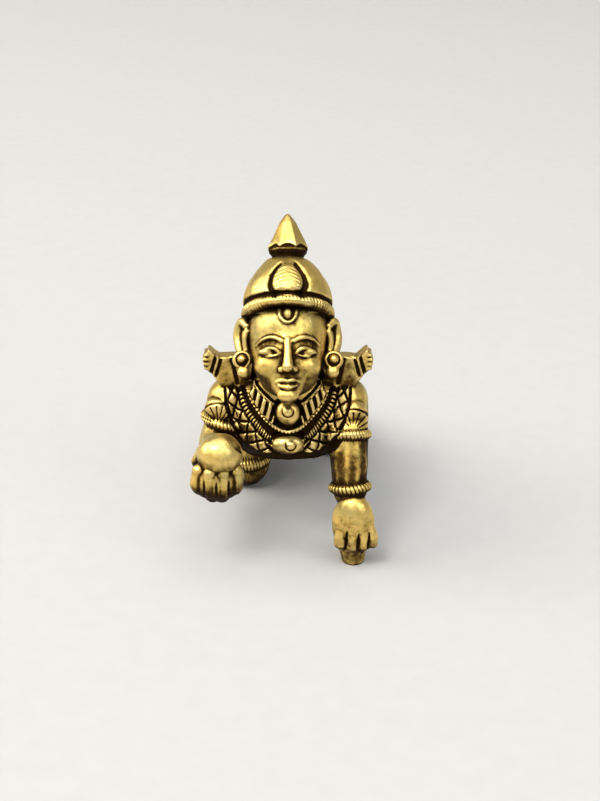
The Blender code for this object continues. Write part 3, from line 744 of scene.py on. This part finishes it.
def settled(made):
    """Scales the figure to metres and sets it where the solid stands."""
    places = read(made.data.vertices, "co", 3)
    low, high = places.min(axis=0), places.max(axis=0)
    solid_low, solid_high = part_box("idol")
    middle = [(solid_low[i] + solid_high[i] - (low[i] + high[i]) * SHARE) / 2 for i in range(2)]
    made.data.transform(Matrix.Translation((middle[0], middle[1], 0)) @ Matrix.Scale(SHARE, 4))
    return made


def idol():
    flesh = bmesh.new()
    form_head(flesh)
    form_torso(flesh)
    body = fused(to_object(flesh, "body"), ROUGH_GRAIN, 0.9)
    cut_flat(body, (0, -16.5, 15.5), (0, -0.16, -1))
    clay = bmesh.new()
    form_limbs(clay)
    add_mesh(clay, body.data)
    body = fused(to_object(clay, "body"), ROUGH_GRAIN, 0.5)
    skin = BVHTree.FromObject(body, bpy.context.evaluated_depsgraph_get())
    clay = bmesh.new()
    for form in (form_crown, form_planted_hand, form_raised_hand, form_feet, form_hair, form_ears, form_scarf,
                 form_bands, form_arm_leaves):
        form(clay)
    form_pendants(clay, skin)
    form_face(clay, skin)
    add_mesh(clay, body.data)
    made = without_pockets(fused(to_object(clay, "cast_brass"), GRAIN, 0.13))
    carve(made)
    patina_and_painted_light(made)
    thinned(made)
    cut_flat(made, (0, 0, 0), (0, 0, -1))
    shadow(made)
    made.data.shade_smooth()
    return settled(made)


def node(tree, kind, inputs=(), **settings):
    """A shader node with its settings and its inputs, each a value or another node's output."""
    made = tree.nodes.new("ShaderNode" + kind)
    for key, value in settings.items():
        setattr(made, key, value)
    for key, value in inputs:
        if isinstance(value, bpy.types.NodeSocket):
            tree.links.new(value, made.inputs[key])
        else:
            made.inputs[key].default_value = value
    return made


def ramp(tree, value, stops):
    """Colours or greys along a value."""
    made = node(tree, "ValToRGB", [(0, value)])
    marks = made.color_ramp.elements
    while len(marks) < len(stops):
        marks.new(0.5)
    for mark, (place, colour) in zip(marks, stops):
        mark.position = place
        mark.color = colour if len(colour) == 4 else (*colour, 1)
    return made.outputs[0]


def mixed(tree, share, one, two):
    """The colour that lies at share between one and two."""
    made = tree.nodes.new("ShaderNodeMix")
    made.data_type = "RGBA"
    for key, kind, value in (("Factor", "VALUE", share), ("A", "RGBA", one), ("B", "RGBA", two)):
        socket = [item for item in made.inputs if item.name == key and item.type == kind][0]
        if isinstance(value, bpy.types.NodeSocket):
            tree.links.new(value, socket)
        else:
            socket.default_value = value
    return made.outputs[2]


def maths(tree, kind, one, two=0.0, clamp=False):
    return node(tree, "Math", [(0, one), (1, two)], operation=kind, use_clamp=clamp).outputs[0]


def brass_material():
    """Worn cast brass: bright on the rubbed high parts, olive on the flats and black-brown where tarnish
    stays, with painted shade where the figure closes in, on faces turned sideways or down and on the forearm,
    fingertips and knee, and painted highlight on the raised ball and planted hand.
    """
    material = bpy.data.materials.new("worn_brass_and_painted_shade")
    material.use_nodes = True
    tree = material.node_tree
    surface = tree.nodes["Principled BSDF"]
    place = node(tree, "TexCoord").outputs["Object"]
    engraved, tarnish, shine, shade = (node(tree, "Attribute", attribute_name=name).outputs["Fac"]
                                       for name in ("engraved", "tarnish", "shine", "shadow"))
    facing = node(tree, "SeparateXYZ", [(0, node(tree, "NewGeometry").outputs["Normal"])]).outputs[2]
    # painted shade: faces turned sideways or downwards are darkened
    under = maths(tree, "MULTIPLY", maths(tree, "SUBTRACT", 0.5, facing), 0.72)
    patches = node(tree, "TexNoise", [("Vector", place), ("Scale", 170.0), ("Detail", 3.0)]).outputs["Fac"]
    cloud = node(tree, "TexNoise", [("Vector", place), ("Scale", 420.0), ("Detail", 4.0)]).outputs["Fac"]
    fine = node(tree, "TexNoise", [("Vector", place), ("Scale", 1500.0), ("Detail", 3.0)]).outputs["Fac"]
    pits = node(tree, "TexVoronoi", [("Vector", place), ("Scale", 900.0)]).outputs["Distance"]
    pit = ramp(tree, pits, [(0.06, (1, 1, 1)), (0.2, (0, 0, 0))])
    pit = maths(tree, "MULTIPLY", pit, ramp(tree, cloud, [(0.5, (0, 0, 0)), (0.62, (1, 1, 1))]))
    depth = maths(tree, "MULTIPLY", engraved, 0.8)
    mottle = maths(tree, "SUBTRACT", cloud, 0.5)
    speck = maths(tree, "SUBTRACT", fine, 0.5)
    # painted shade: the shadow attribute and the sideways or downward faces darken the colour along with the
    # patina marks
    for part, weight in ((tarnish, 1.7), (shade, 0.8), (pit, 0.3), (mottle, 0.9), (speck, 0.55),
                         (maths(tree, "MAXIMUM", under, 0.0), 1.0)):
        depth = maths(tree, "ADD", depth, maths(tree, "MULTIPLY", part, weight))
    # rubbed edges and painted highlight lift the colour out of the patina
    depth = maths(tree, "SUBTRACT", depth, maths(tree, "MULTIPLY", shine, 0.3), clamp=True)
    metal = ramp(tree, patches, [(0.34, WARM_BRASS), (0.48, MID_BRASS), (0.64, GREEN_BRASS)])
    # lighter brass on rubbed edges and as painted highlight on the raised ball and planted hand
    rubbed_and_highlight_mask = ramp(tree, shine, [(0.1, (0, 0, 0)), (0.9, (0.7, 0.7, 0.7))])
    metal = mixed(tree, rubbed_and_highlight_mask, metal, RUBBED_AND_PAINTED_HIGHLIGHT_BRASS)
    # brown and then black: patina in cuts and recesses, and painted shade
    brown_patina_and_shade_mask = ramp(tree, depth, [(0.1, (0, 0, 0)), (0.38, (0.6, 0.6, 0.6)), (0.6, (1, 1, 1))])
    black_patina_and_shade_mask = ramp(tree, depth, [(0.36, (0, 0, 0)), (0.85, (1, 1, 1))])
    colour = mixed(tree, black_patina_and_shade_mask, mixed(tree, brown_patina_and_shade_mask, metal, BROWN_PATINA_AND_PAINTED_SHADE), BLACK_PATINA_AND_PAINTED_SHADE)
    rough = maths(tree, "ADD", maths(tree, "MULTIPLY", fine, 0.16), maths(tree, "MULTIPLY", depth, 0.38))
    rough = maths(tree, "ADD", rough, 0.28, clamp=True)
    strokes = node(tree, "Mapping", [("Vector", place), ("Scale", (1.0, 1.0, 0.12))]).outputs[0]
    strokes = node(tree, "TexNoise", [("Vector", strokes), ("Scale", 3200.0), ("Detail", 2.0)]).outputs["Fac"]
    relief = maths(tree, "ADD", maths(tree, "MULTIPLY", fine, 0.5), maths(tree, "MULTIPLY", pit, -0.8))
    relief = maths(tree, "ADD", relief, maths(tree, "MULTIPLY", strokes, 0.5))
    bump = node(tree, "Bump", [("Height", relief), ("Distance", 0.00008), ("Strength", 0.8)])
    tree.links.new(colour, surface.inputs["Base Color"])
    tree.links.new(rough, surface.inputs["Roughness"])
    tree.links.new(bump.outputs[0], surface.inputs["Normal"])
    surface.inputs["Metallic"].default_value = 1.0
    return material


def floor():
    """A pale round floor that curves up all round the figure."""
    clay = bmesh.new()
    bends = [math.radians(10 * i) for i in range(10)]
    cove = [(BEND_START + BEND * math.sin(a), BEND - BEND * math.cos(a)) for a in bends]
    add_turned(clay, [(0, 0), (FLOOR_FLAT, 0)] + cove + [(BEND_START + BEND, WALL_TOP)], steps=64)
    made = to_object(clay, "floor")
    made.data.shade_smooth()
    material = bpy.data.materials.new("paper")
    material.use_nodes = True
    tree = material.node_tree
    place = node(tree, "TexCoord").outputs["Object"]
    grain = node(tree, "TexNoise", [("Vector", place), ("Scale", 300.0)]).outputs["Fac"]
    tree.links.new(ramp(tree, grain, [(0.3, (0.475, 0.475, 0.475)), (0.7, (0.49, 0.49, 0.49))]),
                   tree.nodes["Principled BSDF"].inputs["Base Color"])
    tree.nodes["Principled BSDF"].inputs["Roughness"].default_value = 0.8
    made.data.materials.append(material)
    return made


def lamp(name, place, power, size, colour=(1, 1, 1)):
    """A square soft light that looks at the figure."""
    light = bpy.data.lights.new(name, "AREA")
    light.energy = power
    light.size = size
    light.color = colour
    made = bpy.data.objects.new(name, light)
    bpy.context.scene.collection.objects.link(made)
    made.location = place
    made.rotation_euler = (LAMP_AIM - Vector(place)).to_track_quat("-Z", "Y").to_euler()


def camera():
    """The photograph's camera: 25 degrees above the ground and close enough to foreshorten."""
    lens = bpy.data.cameras.new("camera")
    lens.sensor_fit = "VERTICAL"
    lens.sensor_height = SENSOR
    lens.lens = SENSOR * PIXELS_PER_METRE * CAMERA_AWAY / PICTURE_TALL
    lens.clip_start = 0.01
    lens.shift_x = (PICTURE_WIDE / 2 - AIM_PIXEL[0]) / PICTURE_TALL
    lens.shift_y = -(PICTURE_TALL / 2 - AIM_PIXEL[1]) / PICTURE_TALL
    made = bpy.data.objects.new("camera", lens)
    bpy.context.scene.collection.objects.link(made)
    rise = math.radians(CAMERA_RISE)
    back = Vector((0, -math.cos(rise), math.sin(rise)))
    made.location = AIM + back * CAMERA_AWAY
    made.rotation_euler = (-back).to_track_quat("-Z", "Y").to_euler()
    bpy.context.scene.camera = made


def world():
    made = bpy.data.worlds.new("studio")
    made.use_nodes = True
    made.node_tree.nodes["Background"].inputs[0].default_value = (1.0, 0.99, 0.96, 1)
    made.node_tree.nodes["Background"].inputs[1].default_value = SURROUND
    bpy.context.scene.world = made


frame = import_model()
BALL = unit_ball()
figure = idol()
figure.data.materials.clear()
figure.data.materials.append(brass_material())
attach(figure, "root")
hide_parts("idol")
floor()
lamp("key", (-0.5, -0.7, 1.4), 11.0, 0.5, (1.0, 0.96, 0.86))
lamp("front", (-0.2, -1.2, 1.05), 3.5, 1.2, (1.0, 0.99, 0.96))
lamp("side", (-1.2, 0.0, 0.9), 17.0, 1.1, (1.0, 0.96, 0.86))
lamp("fill", (1.0, -0.8, 0.95), 4.0, 0.5, (0.88, 0.95, 1.0))
lamp("top", (-0.05, -0.3, 1.5), 20.0, 1.9)
world()
camera()
bpy.context.scene.view_settings.view_transform = "Standard"
